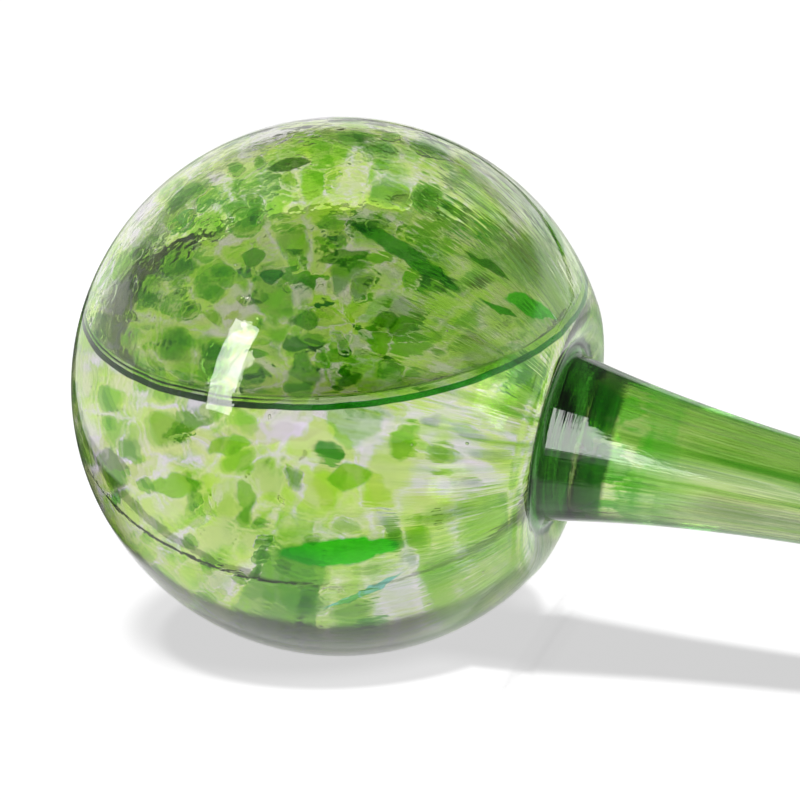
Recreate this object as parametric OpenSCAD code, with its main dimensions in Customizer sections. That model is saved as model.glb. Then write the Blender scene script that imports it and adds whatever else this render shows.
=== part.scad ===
// Watering globe, lying on its side: a blown glass bulb with a long hollow stem, part filled with water.
// Profiles are drawn as [radius, distance along the stem's axis from the bulb's centre].

/* [Bulb] */
// Outer diameter of the blown bulb
bulb_d = 90; // [80:1:105]
// Thickness of the bulb's wall
bulb_wall = 2; // [1.4:0.1:2.6]
// Half angle of the opening that the bulb leaves for the neck, seen from its centre
seam_angle = 32.4; // [31:0.2:36]

/* [Neck] */
// Radius of the rounded shoulder that turns the bulb in towards the neck
shoulder_r = 8; // [6:0.5:11]
// Outer diameter of the collar where the neck leaves the shoulder
collar_d = 27.8; // [25:0.2:30]
// Distance along the axis from the seam at the bulb to the collar
collar_set = 2; // [1.4:0.1:4]
// Thickness of the wall at the collar
collar_wall = 4; // [3:0.1:5]
// Distance past the collar at which the inside has narrowed into the bore
throat_set = 2; // [1:0.2:4]
// Length of the thick neck, from the collar to the stem
neck_len = 17; // [12:1:28]

/* [Stem] */
// Length from the collar to the mouth
stem_len = 260; // [150:1:300]
// Length over which the stem's taper falls away, as the e-folding length of its flare
taper_len = 38; // [28:1:48]
// Outer diameter of the straight end that goes into the soil
tip_d = 11; // [9:0.5:13]
// Diameter of the bore in the straight end
bore_d = 7; // [4:0.5:7.5]
// Length of the straight end, mouth included
tip_len = 30; // [15:1:50]

/* [Water] */
// Height of the water's surface over the bulb's centre
water_height = 15.5; // [-10:0.5:28]
// Length of bore left dry behind the mouth, past the straight end
dry_past_tip = 2; // [1:1:20]
// Gap between the water and the glass
water_gap = 0.05; // [0.02:0.01:0.2]

/* [Hidden] */
$fn = 180;

bulb_r = bulb_d / 2;
hollow_r = bulb_r - bulb_wall;
collar_r = collar_d / 2;
throat_r = collar_r - collar_wall;
tip_r = tip_d / 2;
bore_r = bore_d / 2;
lip_r = (tip_r - bore_r) / 2;

seam_at = bulb_r * cos(seam_angle);
collar_at = seam_at + collar_set;
throat_at = collar_at + throat_set;
neck_end_at = collar_at + neck_len;
mouth_at = collar_at + stem_len;
tip_at = mouth_at - tip_len;
lip_at = mouth_at - lip_r;
dry_at = tip_at - dry_past_tip;

// The part lies on the bulb and on the underside of the lip, with its bounding box centred on the origin.
lip_ring_r = tip_r - lip_r;
lie_angle = asin((bulb_r - lip_r) / norm([lip_at, lip_ring_r])) - atan(lip_ring_r / lip_at);
reach = lip_at * cos(lie_angle) + lip_ring_r * sin(lie_angle) + lip_r;
bulb_x = (bulb_r - reach) / 2;

arc_step = 4;
taper_step = 6;
far = 2 * mouth_at;

glass_pale = [0.66, 0.84, 0.42, 0.45];
glass_deep = [0.05, 0.36, 0.03, 0.75];
glass_stem = [0.42, 0.70, 0.16, 0.55];
water_tint = [0.86, 0.95, 0.84, 0.4];

// A radius that falls from start to finish between the collar and the straight end, steeply at first.
function fallen(at) = exp((collar_at - at) / taper_len);
function flare(start, finish, at) =
    finish + (start - finish) * (fallen(at) - fallen(tip_at)) / (1 - fallen(tip_at));
function flare_slope(start, finish, at) =
    (finish - start) * fallen(at) / (1 - fallen(tip_at)) / taper_len;

function outer_r(at) = at < tip_at ? flare(collar_r, tip_r, at) : tip_r;
function inner_r(at) = at < tip_at ? flare(throat_r, bore_r, at) : bore_r;

// Points of an arc, whose angles are measured from the axis.
function arc(centre, r, from, to) =
    let (n = max(1, ceil(abs(to - from) / arc_step)))
    [for (i = [0:n]) let (a = from + (to - from) * i / n) centre + r * [sin(a), cos(a)]];

// Points along the outside or the inside of the stem, between two places on the axis.
function run(from, to) =
    let (n = max(1, ceil(abs(to - from) / taper_step)))
    [for (i = [0:n]) from + (to - from) * i / n];
function outside(from, to) = [for (at = run(from, to)) [outer_r(at), at]];
function inside(from, to, gap = 0) = [for (at = run(from, to)) [inner_r(at) - gap, at]];

// The arc that blends a round of radius r about centre into a flared tube that it meets at point p.
function normal_at(slope) = [1, -slope] / norm([1, slope]);
function blend_r(centre, r, p, n) =
    let (v = p - centre) (v * v - r * r) / (2 * (r - v * n));
function blend(centre, r, p, slope) =
    let (n = normal_at(slope), f = blend_r(centre, r, p, n), c = p + f * n, to_c = c - centre)
    arc(c, f, atan2(to_c[0], to_c[1]) + 180, atan2(n[0], n[1]) + 180);
function blend_start(centre, r, p, slope) =
    let (n = normal_at(slope), to_c = p + blend_r(centre, r, p, n) * n - centre)
    atan2(to_c[0], to_c[1]);

collar_p = [collar_r, collar_at];
collar_slope = flare_slope(collar_r, tip_r, collar_at);
shoulder_c = (bulb_r - shoulder_r) * [sin(seam_angle), cos(seam_angle)];

throat_slope = flare_slope(throat_r, bore_r, throat_at);

// The shoulder, from the seam into the collar, for the outside of the glass and for its inside.
function shoulder(r, p, slope) =
    concat(arc(shoulder_c, r, seam_angle, blend_start(shoulder_c, r, p, slope)), blend(shoulder_c, r, p, slope));
function shoulder_outside() = shoulder(shoulder_r, collar_p, collar_slope);
function shoulder_inside(gap = 0) =
    shoulder(shoulder_r - bulb_wall - gap, [inner_r(throat_at) - gap, throat_at], throat_slope);

function backwards(points) = [for (i = [len(points) - 1:-1:0]) points[i]];

// Places what is drawn along +Z from the bulb's centre as the part lies.
module lying() {
    translate([bulb_x, 0, bulb_r])
        rotate([0, 90 + lie_angle, 0])
            children();
}

module spun(points) {
    lying()
        rotate_extrude()
            polygon(points);
}

module bulb() {
    color(glass_pale)
        lying()
            difference() {
                sphere(r = bulb_r);
                sphere(r = hollow_r);
                cylinder(r1 = 0, r2 = bulb_d * tan(seam_angle), h = bulb_d);
            }
}

module neck() {
    color(glass_deep)
        spun(concat(
            shoulder_outside(),
            outside(collar_at, neck_end_at),
            inside(neck_end_at, throat_at),
            backwards(shoulder_inside())));
}

module stem() {
    color(glass_stem)
        spun(concat(
            outside(neck_end_at, tip_at),
            arc([lip_ring_r, lip_at], lip_r, 90, -90),
            inside(tip_at, neck_end_at)));
}

// The water fills the hollow up to a level surface, and the bore down to where it hangs near the mouth.
module water() {
    color(water_tint)
        difference() {
            spun(concat(
                arc([0, 0], hollow_r - water_gap, 180, seam_angle),
                shoulder_inside(water_gap),
                inside(throat_at, dry_at, water_gap),
                [[0, dry_at]]));
            translate([-far, -far, bulb_r + water_height])
                cube(2 * far);
        }
}

bulb();
neck();
stem();
water();
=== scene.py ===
# Watering globe lying on a white sheet: blown green glass, a drawn stem, part filled with water.
import math
import random

import bmesh
import bpy
from mathutils import Matrix, Vector


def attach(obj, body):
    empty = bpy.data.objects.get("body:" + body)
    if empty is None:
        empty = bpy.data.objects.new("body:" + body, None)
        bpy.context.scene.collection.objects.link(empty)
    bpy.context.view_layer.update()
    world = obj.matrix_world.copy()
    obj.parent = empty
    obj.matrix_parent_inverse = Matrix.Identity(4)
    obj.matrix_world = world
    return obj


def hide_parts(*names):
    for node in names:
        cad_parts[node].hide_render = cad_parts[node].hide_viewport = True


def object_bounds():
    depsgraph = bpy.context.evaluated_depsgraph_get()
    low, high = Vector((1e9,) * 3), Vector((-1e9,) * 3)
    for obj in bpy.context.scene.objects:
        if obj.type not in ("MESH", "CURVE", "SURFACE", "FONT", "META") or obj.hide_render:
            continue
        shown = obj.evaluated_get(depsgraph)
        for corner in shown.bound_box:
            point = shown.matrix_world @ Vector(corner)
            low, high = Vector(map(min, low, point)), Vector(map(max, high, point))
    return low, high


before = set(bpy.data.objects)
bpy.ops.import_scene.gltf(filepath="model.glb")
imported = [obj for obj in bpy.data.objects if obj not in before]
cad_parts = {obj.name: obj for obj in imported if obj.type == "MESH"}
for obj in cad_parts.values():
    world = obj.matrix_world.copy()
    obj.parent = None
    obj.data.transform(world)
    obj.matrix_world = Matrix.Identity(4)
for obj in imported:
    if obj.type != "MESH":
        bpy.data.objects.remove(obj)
cad_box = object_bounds()

MM = 0.001

# Sizes of the glass, as the model has them.
BULB_R = 45 * MM
HOLLOW_R = 43 * MM
SEAM = math.radians(32.4)
SHOULDER_R = 8 * MM
COLLAR_R = 13.9 * MM
COLLAR_SET = 2 * MM
COLLAR_WALL = 4 * MM
THROAT_SET = 2 * MM
NECK_LEN = 17 * MM
STEM_LEN = 260 * MM
TAPER_LEN = 38 * MM
TIP_R = 5.5 * MM
BORE_R = 3.5 * MM
TIP_LEN = 30 * MM
DRY_PAST_TIP = 2 * MM
WATER_HEIGHT = 15.5 * MM
WATER_GAP = 0.05 * MM

LIP_R = (TIP_R - BORE_R) / 2
SEAM_AT = BULB_R * math.cos(SEAM)
COLLAR_AT = SEAM_AT + COLLAR_SET
THROAT_AT = COLLAR_AT + THROAT_SET
NECK_END_AT = COLLAR_AT + NECK_LEN
MOUTH_AT = COLLAR_AT + STEM_LEN
TIP_AT = MOUTH_AT - TIP_LEN
LIP_AT = MOUTH_AT - LIP_R
LIP_RING_R = TIP_R - LIP_R
DRY_AT = TIP_AT - DRY_PAST_TIP

LIE_ANGLE = math.asin((BULB_R - LIP_R) / math.hypot(LIP_AT, LIP_RING_R)) - math.atan2(LIP_RING_R, LIP_AT)
BULB_CENTRE = Vector((cad_box[0][0] + BULB_R, 0, BULB_R))
LYING = Matrix.Translation(BULB_CENTRE) @ Matrix.Rotation(math.pi / 2 + LIE_ANGLE, 4, "Y")
WATER_LEVEL = BULB_R + WATER_HEIGHT
# How far the water climbs the glass, and the length over which its surface falls away from there.
CLIMB = 1.5 * MM
CAPILLARY = 2.7 * MM

# Fineness of the meshes.
TURNS = 256
WEDGES = 16
WELD = 0.0001 * MM
ARC_STEP = math.radians(1.5)
RUN_STEP = 2.4 * MM
EDGE_STEP = 0.08 * MM
SHARP = math.radians(40)


def fallen(at):
    return math.exp((COLLAR_AT - at) / TAPER_LEN)


def flare(start, finish, at):
    if at > TIP_AT:
        return finish
    return finish + (start - finish) * (fallen(at) - fallen(TIP_AT)) / (1 - fallen(TIP_AT))


def flare_slope(start, finish, at):
    return (finish - start) * fallen(at) / (1 - fallen(TIP_AT)) / TAPER_LEN


def outer_r(at):
    return flare(COLLAR_R, TIP_R, at)


def inner_r(at):
    return flare(COLLAR_R - COLLAR_WALL, BORE_R, at)


def stepped(start, finish, step, edge):
    """Values from start to finish, whose small first and last steps keep the shading true at the ends."""
    span = finish - start
    count = max(2, math.ceil(abs(span) / step))
    edge = math.copysign(min(edge, abs(span) / 4), span)
    inner = [start + span * i / count for i in range(1, count)]
    return [start, start + edge, *inner, finish - edge, finish]


def arc(centre, r, start, finish):
    """Points of an arc as (radius, distance along the axis); its angles are measured from the axis."""
    angles = stepped(start, finish, ARC_STEP, EDGE_STEP / r)
    return [(centre[0] + r * math.sin(a), centre[1] + r * math.cos(a)) for a in angles]


def run(radius_at, start, finish, less=0):
    return [(radius_at(at) - less, at) for at in stepped(start, finish, RUN_STEP, EDGE_STEP)]


def shoulder(r, start, slope):
    """The shoulder, from the seam into a flared tube that starts at a point with a slope."""
    centre = Vector((math.sin(SEAM), math.cos(SEAM))) * (BULB_R - SHOULDER_R)
    point = Vector(start)
    normal = Vector((1, -slope)).normalized()
    reach = point - centre
    blend_r = (reach.dot(reach) - r * r) / (2 * (r - reach.dot(normal)))
    blend_centre = point + blend_r * normal
    away = blend_centre - centre
    turn = math.atan2(away[0], away[1])
    end = math.atan2(normal[0], normal[1]) + math.pi
    first = arc(centre, r, SEAM, turn)
    second = arc(blend_centre, blend_r, turn + math.pi, end)
    return first + second[1:]


def shoulder_outside():
    return shoulder(SHOULDER_R, (COLLAR_R, COLLAR_AT), flare_slope(COLLAR_R, TIP_R, COLLAR_AT))


def shoulder_inside(less=0):
    wall = BULB_R - HOLLOW_R
    throat = (inner_r(THROAT_AT) - less, THROAT_AT)
    return shoulder(SHOULDER_R - wall - less, throat, flare_slope(COLLAR_R - COLLAR_WALL, BORE_R, THROAT_AT))


def along(points, first=0, last=None):
    """Distance travelled along a profile at each of its points, stretched to end at last if it is given."""
    sums = [0]
    for a, b in zip(points, points[1:]):
        sums.append(sums[-1] + math.dist(a, b))
    scale = 1 if last is None else (last - first) / sums[-1]
    return [first + scale * value for value in sums]


# The far end of the bulb was blown round. The gather near the neck was drawn out, which pulls its chips
# into streaks.
DRAWN_FROM = 78 * MM
DRAWN_OVER = 22 * MM
DRAWN_SHARE = 0.1


def gather_angle(length):
    """Angle on the gather, while it was still round, of the glass now at this length from the far pole."""
    if length > DRAWN_FROM:
        past = length - DRAWN_FROM
        faded = DRAWN_OVER * (1 - math.exp(-past / DRAWN_OVER))
        length = DRAWN_FROM + DRAWN_SHARE * past + (1 - DRAWN_SHARE) * faded
    return length / BULB_R


def spun(strips):
    """A closed shell turned about the axis.

    Each strip is its profile, the lengths along it and the place of its material.
    """
    mesh = bmesh.new()
    length = mesh.verts.layers.float.new("length")
    gather = mesh.verts.layers.float_vector.new("gather")
    for points, lengths, material in strips:
        verts = []
        for (r, at), travelled in zip(points, lengths):
            vert = mesh.verts.new((r, 0, at))
            vert[length] = travelled
            verts.append(vert)
        edges = [mesh.edges.new(pair) for pair in zip(verts, verts[1:])]
        made = len(mesh.faces)
        bmesh.ops.spin(
            mesh, geom=verts + edges, cent=(0, 0, 0), axis=(0, 0, 1),
            angle=2 * math.pi / WEDGES, steps=TURNS // WEDGES, use_duplicate=False,
        )
        mesh.faces.ensure_lookup_table()
        for face in mesh.faces[made:]:
            face.material_index = material
            face.smooth = True
    wedges = 1
    while wedges < WEDGES:
        parts = mesh.verts[:] + mesh.edges[:] + mesh.faces[:]
        made = bmesh.ops.duplicate(mesh, geom=parts)["geom"]
        copies = [item for item in made if isinstance(item, bmesh.types.BMVert)]
        turned = Matrix.Rotation(2 * math.pi * wedges / WEDGES, 3, "Z")
        bmesh.ops.rotate(mesh, verts=copies, cent=(0, 0, 0), matrix=turned)
        wedges *= 2
    bmesh.ops.remove_doubles(mesh, verts=mesh.verts, dist=WELD)
    bmesh.ops.recalc_face_normals(mesh, faces=mesh.faces)
    for vert in mesh.verts:
        angle = gather_angle(vert[length])
        turn = math.atan2(vert.co.y, vert.co.x)
        ring = math.sin(angle) if angle < math.pi else 0
        vert[gather] = Vector((ring * math.cos(turn), ring * math.sin(turn), -math.cos(angle)))
    for edge in mesh.edges:
        if len(edge.link_faces) == 2 and edge.calc_face_angle() > SHARP:
            edge.smooth = False
    mesh.verts.layers.float.remove(length)
    mesh.transform(LYING)
    return mesh


def new_piece(name, mesh, materials):
    """A piece in the scene, with its materials in their places."""
    data = bpy.data.meshes.new(name)
    mesh.to_mesh(data)
    mesh.free()
    for material in materials:
        data.materials.append(material)
    piece = bpy.data.objects.new(name, data)
    bpy.context.scene.collection.objects.link(piece)
    return piece


def finished(mesh, name, materials, node):
    """The piece that stands for a node of the model."""
    piece = new_piece(name, mesh, materials)
    piece.visible_diffuse = False
    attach(piece, "root")
    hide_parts(node)
    return piece


# Places of the materials in a piece of glass.
OUTSIDE, INSIDE, WETTED, SEAM_FACE, SEED = range(5)


def wet_inside(mesh):
    """Cuts the inside of the glass where the water's edge stands on it, and marks what lies under water."""
    edge_height = WATER_LEVEL + CLIMB
    faces = [f for f in mesh.faces if f.material_index == INSIDE]
    parts = set(faces)
    for face in faces:
        parts.update(face.edges, face.verts)
    bmesh.ops.bisect_plane(
        mesh, geom=list(parts), dist=WELD, plane_co=(0, 0, edge_height), plane_no=(0, 0, 1),
    )
    dry_from = LYING @ Vector((0, 0, DRY_AT))
    axis = (LYING.to_3x3() @ Vector((0, 0, 1))).normalized()
    for face in mesh.faces:
        if face.material_index != INSIDE:
            continue
        middle = face.calc_center_median()
        if middle.z < edge_height and (middle - dry_from).dot(axis) < 0:
            face.material_index = WETTED


class Shade:
    """Adds nodes to a tree and hands back their outputs."""

    def __init__(self, tree):
        self.tree = tree

    def node(self, kind, inputs=(), **settings):
        made = self.tree.nodes.new("ShaderNode" + kind)
        for key, value in settings.items():
            setattr(made, key, value)
        for key, value in dict(inputs).items():
            if isinstance(value, bpy.types.NodeSocket):
                self.tree.links.new(value, made.inputs[key])
            else:
                made.inputs[key].default_value = value
        return made

    def math(self, operation, *values):
        return self.node("Math", enumerate(values), operation=operation).outputs[0]

    def times(self, first, *others):
        for other in others:
            first = self.math("MULTIPLY", first, other)
        return first

    def most(self, first, *others):
        for other in others:
            first = self.math("MAXIMUM", first, other)
        return first

    def vector(self, operation, *values):
        made = self.node("VectorMath", enumerate(values), operation=operation)
        return made.outputs["Value" if operation in ("LENGTH", "DOT_PRODUCT") else "Vector"]

    def scaled(self, vector, scale):
        return self.node("VectorMath", {0: vector, "Scale": scale}, operation="SCALE").outputs[0]

    def part(self, vector, axis):
        return self.node("SeparateXYZ", {0: vector}).outputs[axis]

    def smooth(self, value, low, high, start=0.0, finish=1.0):
        inputs = {"Value": value, "From Min": low, "From Max": high, "To Min": start, "To Max": finish}
        return self.node("MapRange", inputs, interpolation_type="SMOOTHSTEP").outputs[0]

    def between(self, value, low, high, edge):
        """1 between two values, with a soft edge under the low one and another inside the high one."""
        return self.times(self.smooth(value, low - edge, low), self.smooth(value, high, high - edge))

    def mix(self, factor, a, b, blend="MIX"):
        made = self.node("Mix", {0: factor, 6: a, 7: b}, data_type="RGBA", blend_type=blend)
        return made.outputs[2]

    def tinted(self, colour, by):
        return self.mix(1.0, colour, by, "MULTIPLY")

    def ramp(self, value, stops, interpolation="LINEAR"):
        made = self.node("ValToRGB", {0: value})
        band = made.color_ramp
        band.interpolation = interpolation
        while len(band.elements) < len(stops):
            band.elements.new(1.0)
        for element, (place, colour) in zip(band.elements, stops):
            element.position = place
            element.color = colour
        return made.outputs[0]

    def noise(self, place, scale, detail=2.0, roughness=0.5, output=0):
        inputs = {"Vector": place, "Scale": scale, "Detail": detail, "Roughness": roughness}
        return self.node("TexNoise", inputs).outputs[output]

    def drift(self, place, scale, detail=2.0, roughness=0.5):
        """A vector that wanders about zero from place to place."""
        return self.vector("SUBTRACT", self.noise(place, scale, detail, roughness, "Color"), (0.5, 0.5, 0.5))

    def cells(self, place, scale, feature="F1"):
        return self.node("TexVoronoi", {"Vector": place, "Scale": scale}, feature=feature).outputs

    def place_from(self, centre, turn=(0, 0, 0)):
        """Place on the object, measured from a centre along turned axes."""
        inputs = {0: self.node("TexCoord").outputs["Object"], "Location": centre, "Rotation": turn}
        return self.node("Mapping", inputs, vector_type="TEXTURE").outputs[0]


def new_material(name):
    material = bpy.data.materials.new(name)
    material.use_nodes = True
    material.node_tree.nodes.clear()
    return material, Shade(material.node_tree)


def new_group(name, inputs, outputs):
    """A node group and the nodes of its ends. Sockets are (name, kind)."""
    group = bpy.data.node_groups.new(name, "ShaderNodeTree")
    for direction, sockets in (("INPUT", inputs), ("OUTPUT", outputs)):
        for socket, kind in sockets:
            group.interface.new_socket(socket, in_out=direction, socket_type="NodeSocket" + kind)
    start = group.nodes.new("NodeGroupInput")
    end = group.nodes.new("NodeGroupOutput")
    return group, Shade(group), start.outputs, end.inputs


def placed(shade, group, **inputs):
    """A group's node in a material, with its values set."""
    made = shade.tree.nodes.new("ShaderNodeGroup")
    made.node_tree = group
    for key, value in inputs.items():
        socket = made.inputs[key.replace("_", " ")]
        if isinstance(value, bpy.types.NodeSocket):
            shade.tree.links.new(value, socket)
        else:
            socket.default_value = value
    return made.outputs


# Glass passes the square root of its shader's colour at each face, and each wall is shared between
# its two faces. These are squares of what one wall lets through.
WHITE = (1, 1, 1, 1)
CLEAR = (0.84, 0.77, 0.84, 1)
LILAC = (0.80, 0.72, 0.82, 1)
LIME = (0.66, 0.86, 0.28, 1)
PALE = (0.57, 0.84, 0.11, 1)
LEAF = (0.17, 0.51, 0.012, 1)
GRASS = (0.10, 0.56, 0.02, 1)
JADE = (0.03, 0.62, 0.005, 1)
EMERALD = (0.004, 0.48, 0.0001, 1)
IVY = (0.02, 0.30, 0.005, 1)
MOSS = (0.05, 0.25, 0.006, 1)
FIR = (0.02, 0.22, 0.006, 1)
YEW = (0.04, 0.20, 0.01, 1)
DEEP = (0.008, 0.15, 0.003, 1)
BOTTLE = (0.03, 0.10, 0.006, 1)
OLIVE = (0.12, 0.20, 0.02, 1)
GREY = (0.22, 0.26, 0.16, 1)
AQUA = (0.10, 0.55, 0.42, 1)
# The water's surface is tinted dark green as painted shade, for the shadowed floor seen through it.
WATER_SHADE_TINT = (0.32, 0.43, 0.18, 1)
GLASS_IOR = 1.5
WATER_IOR = 1.333
WET_IOR = GLASS_IOR / WATER_IOR

# How fine each feature of the melted glass is, per millimetre of it.
LUMPS = 0.045
CLOUDS = 0.085
WANDER = 0.13
LARGE_CHIPS = 0.14
SMALL_CHIPS = 0.24
RIPPLES = 0.24
SPECKS = 0.55
RAGGED = 0.55


def melted_frit():
    """Chips of coloured glass melted into the clear, in millimetres on the round gather."""
    group, shade, start, end = new_group(
        "melted_frit",
        [("Place", "Vector"), ("Chips", "Float"), ("Colour Shift", "Float")],
        [("Tint", "Color"), ("Relief", "Float")],
    )
    place = start["Place"]
    bent = shade.vector("ADD", place, shade.scaled(shade.drift(place, WANDER, 3.0, 0.55), 7.0))
    bent = shade.vector("ADD", bent, shade.scaled(shade.drift(place, RAGGED), 1.4))
    lump_shift = shade.math("MULTIPLY_ADD", shade.noise(place, LUMPS, 1.0), 1.2, -0.6)

    cloud = shade.math("ADD", shade.noise(bent, CLOUDS), start["Colour Shift"])
    tint = shade.ramp(cloud, [(0.36, CLEAR), (0.45, PALE), (0.53, PALE), (0.62, LEAF)])

    large = shade.cells(bent, LARGE_CHIPS)
    large_pick = shade.math("ADD", shade.part(large["Color"], 0), lump_shift)
    large_tint = shade.ramp(large_pick, [(0.0, CLEAR), (0.26, PALE), (0.50, LEAF), (0.86, MOSS)], "CONSTANT")
    large_tint = shade.mix(0.35, large_tint, shade.tinted(tint, large_tint))
    large_mask = shade.smooth(large["Distance"], 0.56, 0.44)
    tint = shade.mix(large_mask, tint, large_tint)

    from_edge = shade.cells(bent, LARGE_CHIPS, "DISTANCE_TO_EDGE")["Distance"]
    tint = shade.mix(shade.smooth(from_edge, 0.09, 0.0, 0.0, 0.85), tint, CLEAR)

    small = shade.cells(bent, SMALL_CHIPS)
    small_pick = shade.math("ADD", shade.part(small["Color"], 1), lump_shift)
    small_body = shade.smooth(small["Distance"], 0.42, 0.30)
    small_mask = shade.times(small_body, shade.smooth(small_pick, 0.48, 0.50), start["Chips"])
    small_stops = [(0.0, PALE), (0.3, LEAF), (0.6, MOSS), (0.92, DEEP)]
    small_tint = shade.ramp(shade.part(small["Color"], 2), small_stops, "CONSTANT")
    tint = shade.mix(small_mask, tint, shade.tinted(tint, small_tint))

    specks = shade.cells(place, SPECKS)
    speck_kept = shade.math("GREATER_THAN", shade.part(specks["Color"], 0), 0.93)
    speck = shade.times(shade.smooth(specks["Distance"], 0.16, 0.10), speck_kept)
    tint = shade.mix(speck, tint, OLIVE)

    spoke = shade.vector("NORMALIZE", shade.vector("MULTIPLY", place, (1, 1, 0)))
    spoke = shade.vector("ADD", spoke, shade.scaled(place, 0.006))
    drawn = shade.smooth(shade.part(place, 2), 2, 26)
    fine = shade.noise(spoke, 11.0, 3.0, 0.6)
    streaks = shade.ramp(fine, [(0.36, CLEAR), (0.45, PALE), (0.55, WHITE), (0.66, LEAF)])
    streaked = shade.mix(0.45, shade.tinted(tint, streaks), streaks)
    tint = shade.mix(shade.times(drawn, 0.75), tint, streaked)

    relief = shade.times(shade.noise(place, RIPPLES, 2.0, 0.45), 0.20)
    relief = shade.math("MULTIPLY_ADD", large_mask, 0.03, relief)
    relief = shade.math("MULTIPLY_ADD", small_mask, 0.04, relief)
    relief = shade.math("MULTIPLY_ADD", shade.times(drawn, fine), 0.25, relief)
    one_face = shade.node("Gamma", {"Color": tint, "Gamma": 0.5}).outputs[0]
    shade.tree.links.new(one_face, end["Tint"])
    shade.tree.links.new(relief, end["Relief"])
    return group


FRIT = melted_frit()
# What the glass lets through to its shadow.
CASTS = (0.36, 0.36, 0.36, 1)
# Light that has met this many faces of glass and water is let straight out at the next outer face.
LEAVES_AFTER = 3.5


def glass_output(shade, tint, ior, normal=None, casts=None):
    """Glass whose shadow is plain grey where the mask is 1, and none where it is 0."""
    inputs = {"Base Color": tint, "Roughness": 0.0, "IOR": ior, "Transmission Weight": 1.0, "Metallic": 0.0}
    if normal is not None:
        inputs["Normal"] = normal
    glass = shade.node("BsdfPrincipled", inputs).outputs[0]
    path = shade.node("LightPath").outputs
    shadow = WHITE
    if casts is not None:
        shadow = shade.mix(casts, WHITE, CASTS)
        leaves = shade.node("BsdfTransparent", {0: tint}).outputs[0]
        trapped = shade.math("GREATER_THAN", path["Ray Depth"], LEAVES_AFTER)
        glass = shade.node("MixShader", {0: trapped, 1: glass, 2: leaves}).outputs[0]
    passed = shade.node("BsdfTransparent", {0: shadow}).outputs[0]
    mixed = shade.node("MixShader", {0: path["Is Shadow Ray"], 1: glass, 2: passed}).outputs[0]
    shade.node("OutputMaterial", {0: mixed})


def relief_normal(shade, height, strength):
    return shade.node("Bump", {"Height": height, "Distance": MM, "Strength": strength}).outputs[0]


def gather_place(shade):
    """Place on the round gather in millimetres."""
    gather = shade.node("Attribute", attribute_name="gather", attribute_type="GEOMETRY").outputs["Vector"]
    return shade.scaled(gather, BULB_R / MM)


def camera_place(shade):
    """Place over the floor from the bulb's centre, across and ahead as the camera stands."""
    return shade.place_from((BULB_CENTRE.x, 0, 0), (0, 0, CAMERA_AZIMUTH))


# The larger chips of the bulb: turn round the upright and height over the middle in degrees, half length and
# half width in millimetres, tilt off the level in degrees, and the glass they are of.
BULB_CHIPS = [
    (-70, -10, 10.5, 3.0, 2, EMERALD),
    (-66, -22, 7.4, 0.8, 29, AQUA),
    (-93, 2, 6.0, 3.8, 20, LIME),
    (-84, 16, 9.0, 1.8, 6, LILAC),
    (-124, 2, 4.4, 1.9, 8, GREY),
    (-105, 2, 5.8, 2.1, 15, LEAF),
    (-102, 77, 3.7, 2.0, 33, BOTTLE),
    (-43, 50, 11.0, 1.7, -54, FIR),
    (-93, 52, 2.1, 1.8, 7, MOSS),
    (-86, 48, 2.0, 1.3, 6, DEEP),
    (-63, 52, 4.3, 1.6, 5, MOSS),
    (-75, 39, 2.3, 1.8, -5, MOSS),
    (-55, 37, 2.1, 1.6, -3, MOSS),
    (-20, 42, 4.5, 0.9, -57, YEW),
    (-14, 30, 6.0, 1.6, -40, JADE),
    (-24, 33, 3.5, 0.7, -48, IVY),
    (-67, 7, 3.4, 2.3, 9, LEAF),
    (-92, 13, 4.1, 1.8, 18, LEAF),
    (20, 35, 6.0, 2.2, 20, MOSS),
    (75, 10, 7.5, 2.6, -12, GRASS),
    (120, -20, 5.0, 2.4, 30, LEAF),
    (150, 30, 6.5, 2.0, -25, FIR),
    (-165, 12, 4.5, 2.6, 10, MOSS),
]
CHIP_DEPTH = 5.0


def placed_chip():
    """One chip of glass on the bulb, as long, wide and turned as it is told, over what is there already."""
    group, shade, start, end = new_group(
        "placed_chip",
        [
            ("Tint", "Color"), ("Place", "Vector"), ("At", "Vector"),
            ("Turn", "Vector"), ("Size", "Vector"), ("Chip", "Color"),
        ],
        [("Tint", "Color")],
    )
    inputs = {
        "Vector": start["Place"], "Location": start["At"], "Rotation": start["Turn"], "Scale": start["Size"],
    }
    local = shade.node("Mapping", inputs, vector_type="TEXTURE").outputs[0]
    towards_tip = shade.math("POWER", shade.part(local, 0), 2.0)
    narrower = shade.math("MULTIPLY_ADD", towards_tip, 0.8, 1.0)
    narrowed = shade.node("CombineXYZ", {0: 1.0, 1: narrower, 2: 1.0}).outputs[0]
    mask = shade.smooth(shade.vector("LENGTH", shade.vector("MULTIPLY", local, narrowed)), 1.12, 0.86)
    shade.tree.links.new(shade.mix(mask, start["Tint"], start["Chip"]), end["Tint"])
    return group


CHIP = placed_chip()


def with_chips(shade, tint):
    """The chips of the list, laid one after the other over the glass of the bulb."""
    place = shade.scaled(shade.place_from(BULB_CENTRE), 1 / MM)
    place = shade.vector("ADD", place, shade.scaled(shade.drift(place, 0.30), 2.6))
    for turn, height, half_length, half_width, tilt, colour in BULB_CHIPS:
        around = math.radians(turn)
        up = math.radians(height)
        lean = math.radians(tilt)
        out = Vector((math.cos(around) * math.cos(up), math.sin(around) * math.cos(up), math.sin(up)))
        east = Vector((-math.sin(around), math.cos(around), 0))
        long_way = east * math.cos(lean) + out.cross(east) * math.sin(lean)
        axes = Matrix((long_way, out.cross(long_way), out)).transposed()
        tint = placed(
            shade, CHIP, Tint=tint, Place=place, At=out * (BULB_R / MM), Turn=axes.to_euler(),
            Size=(half_length, half_width, CHIP_DEPTH), Chip=colour,
        )["Tint"]
    return tint


# The middle of the bulb casts its shadow, as an ellipse across and ahead, with a strip towards the stem.
SHADOW_ACROSS = 33 * MM
SHADOW_AHEAD = 23 * MM


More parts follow.
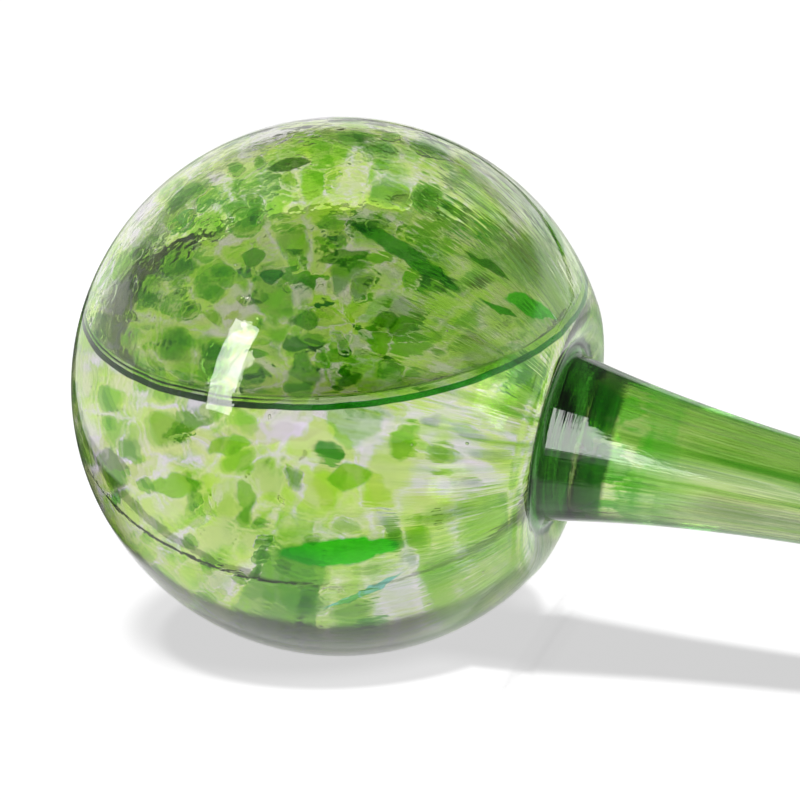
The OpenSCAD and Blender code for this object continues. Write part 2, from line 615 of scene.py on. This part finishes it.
def frit_glass(name):
    """The outside of the bulb: melted chips over clear glass."""
    material, shade = new_material(name)
    frit = placed(shade, FRIT, Place=gather_place(shade), Chips=1.0)
    stand = camera_place(shade)
    wide = shade.math("POWER", shade.math("DIVIDE", shade.part(stand, 0), SHADOW_ACROSS), 2.0)
    deep = shade.math("POWER", shade.math("DIVIDE", shade.part(stand, 1), SHADOW_AHEAD), 2.0)
    middle = shade.smooth(shade.math("ADD", wide, deep), 1.1, 0.9)
    from_bulb = shade.place_from(BULB_CENTRE)
    by_stem = shade.smooth(shade.part(from_bulb, 0), 18 * MM, 24 * MM)
    by_axis = shade.smooth(shade.math("ABSOLUTE", shade.part(from_bulb, 1)), 11 * MM, 9 * MM)
    casts = shade.most(middle, shade.times(by_stem, by_axis))
    tint = with_chips(shade, frit["Tint"])
    glass_output(shade, tint, GLASS_IOR, relief_normal(shade, frit["Relief"], 0.10), casts)
    return material


# The direction off the axis that points down the picture, as the camera sees the neck and stem.
# Painted shade and painted light on the stem's sides follow this direction.
DOWN_PICTURE = (0.866, -0.5, 0)


def pulled_glass_with_painted_shade(shade, frit_tint, axis, outwards):
    """Streaks and blots in the drawn glass, with painted shade on its top and edges and painted light below.
    """
    spoke = shade.vector("ADD", outwards, shade.vector("MULTIPLY", axis, (0, 0, 4)))
    streaks = shade.noise(spoke, 4.5, 3.0)
    side = shade.vector("DOT_PRODUCT", outwards, DOWN_PICTURE)
    # Painted shade: the top side, as the camera sees it, is darkened green, with a streaky border.
    painted_upper_shade = shade.smooth(shade.math("MULTIPLY_ADD", streaks, -0.8, side), -0.1, -0.7)
    # Painted shade: both edges of the stem, as the camera sees them, are darkened.
    edges = shade.most(shade.smooth(side, 0.90, 0.97), shade.smooth(side, -0.84, -0.94))
    painted_side_shade = shade.mix(painted_upper_shade, (1.0, 1.0, 0.97, 1), (0.48, 0.68, 0.26, 1))
    painted_side_shade = shade.mix(edges, painted_side_shade, (0.05, 0.30, 0.015, 1))
    streaky = shade.ramp(streaks, [
        (0.40, WHITE), (0.54, (0.96, 1.0, 0.88, 1)), (0.61, (0.50, 0.76, 0.26, 1)),
        (0.69, (0.14, 0.48, 0.05, 1)),
    ])
    # Painted light: the under side, as the camera sees it, fades towards clear yellow.
    painted_lower_light = shade.mix(shade.smooth(side, -0.4, 0.4, 0.15, 0.95), frit_tint, (1.0, 1.0, 0.82, 1))
    pulled = shade.tinted(shade.tinted(painted_lower_light, painted_side_shade), streaky)
    blots = shade.noise(shade.vector("MULTIPLY", axis, (170, 170, 120)), 1.0, 3.0, 0.6)
    near_collar = shade.smooth(shade.part(axis, 2), 66 * MM, 48 * MM)
    blot = shade.times(shade.smooth(blots, 0.48, 0.54), near_collar)
    return shade.mix(blot, pulled, (0.07, 0.50, 0.01, 1))


def with_shaded_collar(shade, tint, relief, axis, radius):
    """The collar at the root of the neck, a band of painted shade in dark green, with the fine rings that
    the jacks leave.
    """
    marks = shade.noise(shade.vector("MULTIPLY", axis, (50, 50, 1500)), 1.0, 3.0, 0.6)
    wobble = shade.noise(shade.vector("MULTIPLY", axis, (260, 260, 260)), 1.0)
    root = shade.math("MULTIPLY_ADD", wobble, 1.6 * MM, radius)
    edge = shade.math("MULTIPLY_ADD", wobble, 2.4 * MM, shade.part(axis, 2))
    # Painted shade: the band where the collar's thick glass shows dark.
    band = shade.times(shade.smooth(root, 17.9 * MM, 17.3 * MM), shade.smooth(edge, 46.6 * MM, 45.4 * MM))
    # The band's painted shade is dark green, lighter along the jacks' rings.
    rings = shade.ramp(marks, [
        (0.50, (0.002, 0.030, 0.001, 1)), (0.62, (0.004, 0.08, 0.002, 1)),
        (0.70, (0.015, 0.20, 0.006, 1)), (0.78, (0.25, 0.65, 0.12, 1)),
    ])
    tint = shade.mix(band, tint, rings)
    relief = shade.math("MULTIPLY_ADD", shade.times(band, marks), 0.15, relief)
    return tint, relief


def drawn_frit(name, collar):
    """Glass of the neck and stem, where the chips are pulled into streaks."""
    material, shade = new_material(name)
    frit = placed(shade, FRIT, Place=gather_place(shade), Chips=1.0, Colour_Shift=0.02)
    axis = shade.place_from(BULB_CENTRE, LYING.to_euler())
    off_axis = shade.vector("MULTIPLY", axis, (1, 1, 0))
    radius = shade.vector("LENGTH", off_axis)
    pulled = pulled_glass_with_painted_shade(shade, frit["Tint"], axis, shade.vector("NORMALIZE", off_axis))
    past_root = shade.smooth(radius, 17.5 * MM, 15.5 * MM)
    tint = shade.mix(past_root, frit["Tint"], pulled)
    relief = frit["Relief"]
    if collar:
        tint, relief = with_shaded_collar(shade, tint, relief, axis, radius)
        aside = shade.math("ABSOLUTE", shade.part(axis, 1))
        casts = shade.smooth(shade.math("DIVIDE", aside, radius), 0.78, 0.66)
        casts = shade.times(casts, shade.smooth(aside, 11 * MM, 9.5 * MM))
    else:
        casts = shade.smooth(shade.node("LayerWeight", {"Blend": 0.5}).outputs["Facing"], 0.36, 0.26)
    glass_output(shade, tint, GLASS_IOR, relief_normal(shade, relief, 0.18), casts)
    return material


# The painted shade of the water's edge starts this far under the water's level.
LINE_DROP = 0.4 * MM
# Colours of the painted shade at the water's edge: dark threads, greener by the neck, and a green film.
PAINTED_THREAD = (0.0002, 0.004, 0.0001, 1)
PAINTED_THREAD_BY_NECK = (0.001, 0.09, 0.0005, 1)
PAINTED_FILM = (0.22, 0.44, 0.08, 1)


def painted_water_line(shade):
    """Painted shade where the water climbs the glass: two dark threads under a thin green film."""
    from_bulb = shade.place_from(BULB_CENTRE)
    over = shade.math("SUBTRACT", shade.part(from_bulb, 2), WATER_HEIGHT - LINE_DROP)
    wobble = shade.math("MULTIPLY_ADD", shade.noise(gather_place(shade), 0.12), 0.30, -0.15)
    climbed = shade.math("ADD", shade.math("DIVIDE", over, CLIMB + LINE_DROP), wobble)
    by_neck = shade.smooth(shade.part(from_bulb, 0), 0, 20 * MM)
    painted_lower_shade = shade.between(climbed, 0.08, 0.58, 0.06)
    painted_upper_shade = shade.between(climbed, 0.73, 0.90, 0.05)
    painted_upper_shade = shade.times(painted_upper_shade, shade.math("MULTIPLY_ADD", by_neck, -0.9, 1.0))
    film = shade.times(shade.smooth(climbed, 0.52, 0.58), shade.smooth(climbed, 1.20, 1.05))
    return shade.mix(
        shade.most(painted_lower_shade, painted_upper_shade), shade.mix(film, WHITE, PAINTED_FILM), shade.mix(by_neck, PAINTED_THREAD, PAINTED_THREAD_BY_NECK),
    )


def inner_glass(name, ior, painted_shade=WHITE):
    """The inside of the wall, where the melted chips stand a little proud.

    The water's line of painted shade shows on the near wall alone, whose inside is seen from its back.
    """
    material, shade = new_material(name)
    frit = placed(shade, FRIT, Place=gather_place(shade), Chips=1.0)
    # An optional tint of painted shade darkens the whole wall.
    plain = shade.tinted(frit["Tint"], painted_shade)
    near = shade.node("NewGeometry").outputs["Backfacing"]
    tint = shade.mix(near, plain, shade.tinted(plain, painted_water_line(shade)))
    glass_output(shade, tint, ior, relief_normal(shade, frit["Relief"], 0.6))
    return material


def clear_glass(name, ior):
    material, shade = new_material(name)
    glass_output(shade, WHITE, ior)
    return material


def through_material(name):
    """For faces where one glass carries on into the next, or water meets glass: nothing shows there."""
    material, shade = new_material(name)
    clear = shade.node("BsdfTransparent").outputs[0]
    shade.node("OutputMaterial", {0: clear})
    return material


def water_surface():
    material, shade = new_material("water_surface")
    # Its tint is painted shade.
    glass_output(shade, WATER_SHADE_TINT, WATER_IOR)
    return material


SEEDS = 70


def add_seeds(mesh):
    """Small air bubbles caught in the wall of the bulb."""
    chance = random.Random(7)
    for _ in range(SEEDS):
        tilt = math.acos(chance.uniform(-1, math.cos(SEAM) - 0.05))
        turn = chance.uniform(0, 2 * math.pi)
        depth = HOLLOW_R + (BULB_R - HOLLOW_R) * chance.uniform(0.3, 0.7)
        size = chance.uniform(0.12, 0.32) * MM
        stretch = Matrix.Diagonal((1, 1, chance.uniform(1.0, 1.8), 1))
        around = Matrix.Rotation(turn, 4, "Z") @ Matrix.Rotation(tilt, 4, "Y")
        place = around @ Matrix.Translation((0, 0, depth))
        lie = place @ Matrix.Rotation(math.pi / 2, 4, "Y") @ stretch
        made = bmesh.ops.create_icosphere(mesh, subdivisions=2, radius=size, matrix=LYING @ lie)
        faces = {face for vert in made["verts"] for face in vert.link_faces}
        bmesh.ops.reverse_faces(mesh, faces=list(faces))
        for face in faces:
            face.material_index = SEED
            face.smooth = True


def blown_bulb(materials):
    """The bulb. What it returns is how far along the gather its seam is."""
    outside = arc((0, 0), BULB_R, math.pi, SEAM)
    inside = arc((0, 0), HOLLOW_R, SEAM, math.pi)
    reached = along(outside)[-1]
    mesh = spun([
        (outside, along(outside), OUTSIDE),
        ([outside[-1], inside[0]], [reached, reached], SEAM_FACE),
        (inside, along(inside, reached, 0), INSIDE),
    ])
    wet_inside(mesh)
    add_seeds(mesh)
    outer = frit_glass("frit_in_bulb")
    piece = finished(mesh, "blown_bulb", [outer, *materials], "bulb")
    return reached


def jacked_neck(materials, reached):
    """The shoulder, collar and neck, with how far along the gather they end."""
    outside = shoulder_outside() + run(outer_r, COLLAR_AT, NECK_END_AT)[1:]
    inside = run(inner_r, NECK_END_AT, THROAT_AT) + shoulder_inside()[::-1][1:]
    travelled = along(outside, reached, reached + along(outside)[-1])
    finish = travelled[-1]
    mesh = spun([
        (outside, travelled, OUTSIDE),
        ([outside[-1], inside[0]], [finish, finish], SEAM_FACE),
        (inside, along(inside, finish, reached), INSIDE),
        ([inside[-1], outside[0]], [reached, reached], SEAM_FACE),
    ])
    wet_inside(mesh)
    outer = drawn_frit("jacked_glass", collar=True)
    piece = finished(mesh, "jacked_neck", [outer, *materials], "neck")
    return piece, finish


def drawn_stem(materials, reached):
    """The stem, with its bore and the round lip of its mouth."""
    outside = run(outer_r, NECK_END_AT, LIP_AT)
    lip = arc((LIP_RING_R, LIP_AT), LIP_R, math.pi / 2, -math.pi / 2)
    inside = run(inner_r, LIP_AT, DRY_AT) + run(inner_r, DRY_AT, NECK_END_AT)[1:]
    outside += lip[1:]
    travelled = along(outside, reached, reached + along(outside)[-1])
    mesh = spun([
        (outside, travelled, OUTSIDE),
        (inside, along(inside, travelled[-1], reached), INSIDE),
        ([inside[-1], outside[0]], [reached, reached], SEAM_FACE),
    ])
    wet_inside(mesh)
    outer = drawn_frit("drawn_glass", collar=False)
    piece = finished(mesh, "drawn_stem", [outer, *materials], "stem")
    return piece


# Places of the water's two materials.
AGAINST_GLASS, SURFACE = range(2)
# The meniscus is drawn in rings, from the glass inwards, that widen by a little each.
RINGS = 14
RING_START = 0.15 * MM
RING_GROWTH = 0.12 * MM


def water_fill():
    """The water, with its level surface drawn up a little where it meets the glass."""
    sides = arc((0, 0), HOLLOW_R - WATER_GAP, math.pi, SEAM) + shoulder_inside(WATER_GAP)
    sides += run(inner_r, THROAT_AT, DRY_AT, WATER_GAP)[1:]
    end = [sides[-1], (0, DRY_AT)]
    mesh = spun([(sides, along(sides), AGAINST_GLASS), (end, [0, 0], SURFACE)])
    everything = mesh.verts[:] + mesh.edges[:] + mesh.faces[:]
    bmesh.ops.bisect_plane(
        mesh, geom=everything, dist=WELD, clear_outer=True,
        plane_co=(0, 0, WATER_LEVEL + CLIMB), plane_no=(0, 0, 1),
    )
    rim = [edge for edge in mesh.edges if edge.is_boundary]
    under = set(mesh.faces)
    inward = 0
    for ring in range(1, RINGS + 1):
        grown = bmesh.ops.extrude_edge_only(mesh, edges=rim)["geom"]
        rim = [item for item in grown if isinstance(item, bmesh.types.BMEdge) and item.is_boundary]
        step = RING_START + RING_GROWTH * ring
        inward += step
        height = WATER_LEVEL + CLIMB * math.exp(-inward / CAPILLARY) * (1 - ring / RINGS)
        for vert in (item for item in grown if isinstance(item, bmesh.types.BMVert)):
            towards = Vector((BULB_CENTRE.x - vert.co.x, BULB_CENTRE.y - vert.co.y, 0)).normalized()
            vert.co += towards * step
            vert.co.z = height
    bmesh.ops.contextual_create(mesh, geom=rim)
    for face in set(mesh.faces) - under:
        face.material_index = SURFACE
        face.smooth = True
    bmesh.ops.recalc_face_normals(mesh, faces=mesh.faces)
    materials = [through_material("water_against_glass"), water_surface()]
    piece = finished(mesh, "water_fill", materials, "water")
    piece.visible_shadow = False


CAMERA_AZIMUTH = math.radians(22.67)
CAMERA_ELEVATION = math.radians(25.3)
CAMERA_ROLL = math.radians(4.3)
CAMERA_DISTANCE = 640 * MM
CAMERA_LENS = 172.4
AIM_RIGHT = 9.79 * MM
AIM_DOWN = 2.27 * MM


def direction(azimuth, up):
    """The way from the bulb towards a place round it, at an angle over the level."""
    return Vector((math.sin(azimuth) * math.cos(up), -math.cos(azimuth) * math.cos(up), math.sin(up)))


def add_camera():
    """The camera looks past the bulb towards the stem, turned a little about its line of sight."""
    towards_camera = direction(CAMERA_AZIMUTH, CAMERA_ELEVATION)
    level_right = Vector((0, 0, 1)).cross(towards_camera).normalized()
    level_up = towards_camera.cross(level_right)
    right = level_right * math.cos(CAMERA_ROLL) - level_up * math.sin(CAMERA_ROLL)
    up = level_right * math.sin(CAMERA_ROLL) + level_up * math.cos(CAMERA_ROLL)
    eye = BULB_CENTRE + towards_camera * CAMERA_DISTANCE
    aim = BULB_CENTRE + right * AIM_RIGHT - up * AIM_DOWN
    back = (eye - aim).normalized()
    across = up.cross(back).normalized()
    turned = Matrix((across, back.cross(across), back)).transposed().to_4x4()
    data = bpy.data.cameras.new("camera")
    data.lens = CAMERA_LENS
    data.clip_end = 100
    camera = bpy.data.objects.new("camera", data)
    camera.matrix_world = Matrix.Translation(eye) @ turned
    bpy.context.scene.collection.objects.link(camera)
    bpy.context.scene.camera = camera


def add_view():
    bpy.context.scene.view_settings.view_transform = "Standard"


# How much the room above takes from the light that the glass shows, and the light that fills the shadows.
ROOM_DARKNESS = 0.88
FILL = 0.2


def seen_in_glass(shade):
    """1 for what is seen through the glass or mirrored in it."""
    path = shade.node("LightPath").outputs
    return shade.most(path["Is Glossy Ray"], path["Is Transmission Ray"])


def add_world():
    """White behind the object, plain light on it, and a darker room above for the glass to show."""
    world = bpy.data.worlds.new("studio")
    world.use_nodes = True
    world.node_tree.nodes.clear()
    bpy.context.scene.world = world
    shade = Shade(world.node_tree)
    towards = shade.node("TexCoord").outputs["Generated"]
    camera_right = (math.cos(CAMERA_AZIMUTH), math.sin(CAMERA_AZIMUTH), 0)
    across = shade.vector("DOT_PRODUCT", towards, camera_right)
    over_room = shade.smooth(shade.part(towards, 2), 0.16, 0.23)
    above = shade.times(over_room, shade.smooth(across, -0.30, -0.12, 0.5, 1.0))
    room = shade.math("MULTIPLY_ADD", above, -ROOM_DARKNESS, 1.0)
    plain = shade.most(shade.node("LightPath").outputs["Is Camera Ray"], FILL)
    inputs = {0: seen_in_glass(shade), 2: plain, 3: room}
    strength = shade.node("Mix", inputs, data_type="FLOAT").outputs[0]
    light = shade.node("Background", {"Color": WHITE, "Strength": strength}).outputs[0]
    shade.node("OutputWorld", {0: light})


def add_sun():
    """A soft light from nearly overhead, which draws the shadow and isn't seen in the glass."""
    data = bpy.data.lights.new("overhead", "SUN")
    data.energy = 1.9
    data.angle = math.radians(5)
    lamp = bpy.data.objects.new("overhead", data)
    lamp.rotation_euler = (math.radians(1.5), math.radians(6), 0)
    lamp.visible_glossy = False
    lamp.visible_transmission = False
    bpy.context.scene.collection.objects.link(lamp)


def staged(name, mesh, material):
    """A piece of the studio, which isn't part of the object."""
    piece = new_piece(name, mesh, [material])
    return piece


# What the glass shows past the white sheet: dark gaps at its left, right and front and far behind it,
# measured across and ahead from the bulb as the camera stands.
GAP_LEFT = (-104 * MM, -46 * MM)
GAP_RIGHT = (70 * MM, 125 * MM)
GAP_FRONT = (-86 * MM, -58 * MM)
GAP_BACK = (520 * MM, 900 * MM)
GAP_EDGE = 8 * MM
GAP_COLOUR = (0.06, 0.07, 0.06, 1)
PAPER = (0.8, 0.8, 0.8, 1)
PAPER_GLOW = 0.42
FLOOR_REACH = 15


def floor_gaps(shade):
    """1 in the gaps round the sheet, less where a gap is far off or fades."""
    stand = camera_place(shade)
    across = shade.part(stand, 0)
    ahead = shade.part(stand, 1)
    beside = shade.smooth(ahead, -20 * MM, 20 * MM)
    fading = shade.smooth(ahead, 300 * MM, 150 * MM, 0.45, 1.0)
    left = shade.times(shade.between(across, *GAP_LEFT, GAP_EDGE), beside, fading)
    past_stem = shade.smooth(ahead, 60 * MM, 100 * MM, 0.0, 0.5)
    right = shade.times(shade.between(across, *GAP_RIGHT, GAP_EDGE), past_stem)
    front = shade.smooth(ahead, GAP_FRONT[1], GAP_FRONT[0], 0.0, 0.85)
    behind_stem = shade.smooth(across, -40 * MM, 120 * MM)
    back = shade.times(shade.between(ahead, *GAP_BACK, GAP_EDGE), behind_stem)
    return shade.most(left, right, front, back)


def add_floor():
    """A white floor, which the glass shows as a sheet of paper with dark gaps round it."""
    material, shade = new_material("white_sheet")
    paper = shade.node("BsdfDiffuse", {"Color": PAPER}).outputs[0]
    glow = shade.node("Emission", {"Color": WHITE, "Strength": PAPER_GLOW}).outputs[0]
    white = shade.node("AddShader", {0: paper, 1: glow}).outputs[0]
    dark = shade.node("Emission", {"Color": GAP_COLOUR, "Strength": 1.0}).outputs[0]
    gap = shade.times(seen_in_glass(shade), floor_gaps(shade))
    surface = shade.node("MixShader", {0: gap, 1: white, 2: dark}).outputs[0]
    shade.node("OutputMaterial", {0: surface})
    mesh = bmesh.new()
    bmesh.ops.create_grid(mesh, x_segments=1, y_segments=1, size=FLOOR_REACH)
    staged("floor", mesh, material)


SOFTBOX_DISTANCE = 800 * MM


def add_softbox(name, left, elevation, half_wide, half_high, strength, lean=0):
    """A soft light seen only in the glass.

    Its place left of the camera, its height, its half width and half height as seen from the bulb, and
    its lean to the right are in degrees.
    """
    material, shade = new_material(name)
    glow = shade.node("Emission", {"Color": WHITE, "Strength": strength}).outputs[0]
    shade.node("OutputMaterial", {0: glow})
    mesh = bmesh.new()
    bmesh.ops.create_grid(mesh, x_segments=1, y_segments=1, size=0.5)
    towards = direction(CAMERA_AZIMUTH - math.radians(left), math.radians(elevation))
    facing = (-towards).to_track_quat("-Z", "Y").to_matrix().to_4x4()
    turned = facing @ Matrix.Rotation(-math.radians(lean), 4, "Z")
    wide = 2 * SOFTBOX_DISTANCE * math.tan(math.radians(half_wide))
    high = 2 * SOFTBOX_DISTANCE * math.tan(math.radians(half_high))
    place = Matrix.Translation(BULB_CENTRE + towards * SOFTBOX_DISTANCE)
    mesh.transform(place @ turned @ Matrix.Diagonal((wide, high, 1, 1)))
    box = staged(name, mesh, material)
    box.visible_camera = False
    box.visible_diffuse = False
    box.visible_shadow = False
    return box


def shine_only_on(lamp, pieces):
    """Keeps a light to the given pieces."""
    lit = bpy.data.collections.new(lamp.name + "_lights")
    for piece in pieces:
        lit.objects.link(piece)
    lamp.light_linking.receiver_collection = lit


add_camera()
add_view()
add_world()
add_sun()
add_floor()
add_softbox("tall_softbox", left=53, elevation=27, half_wide=5.8, half_high=17.3, strength=11.0)

inner_materials = [
    inner_glass("inside_of_glass", GLASS_IOR),
    # The wetted inside is darkened as painted shade, for the shadowed floor seen through the water.
    inner_glass("wetted_inside", WET_IOR, (0.84, 0.83, 0.90, 1)),
    through_material("glass_carries_on"),
    clear_glass("air_seed", GLASS_IOR),
]
bulb_reach = blown_bulb(inner_materials)
neck, neck_reach = jacked_neck(inner_materials, bulb_reach)
stem = drawn_stem(inner_materials, neck_reach)
water_fill()
neck_light = add_softbox(
    "neck_softbox", left=-6.4, elevation=31, half_wide=10.5, half_high=27.0, strength=9.5, lean=29.6,
)
shine_only_on(neck_light, [neck, stem])
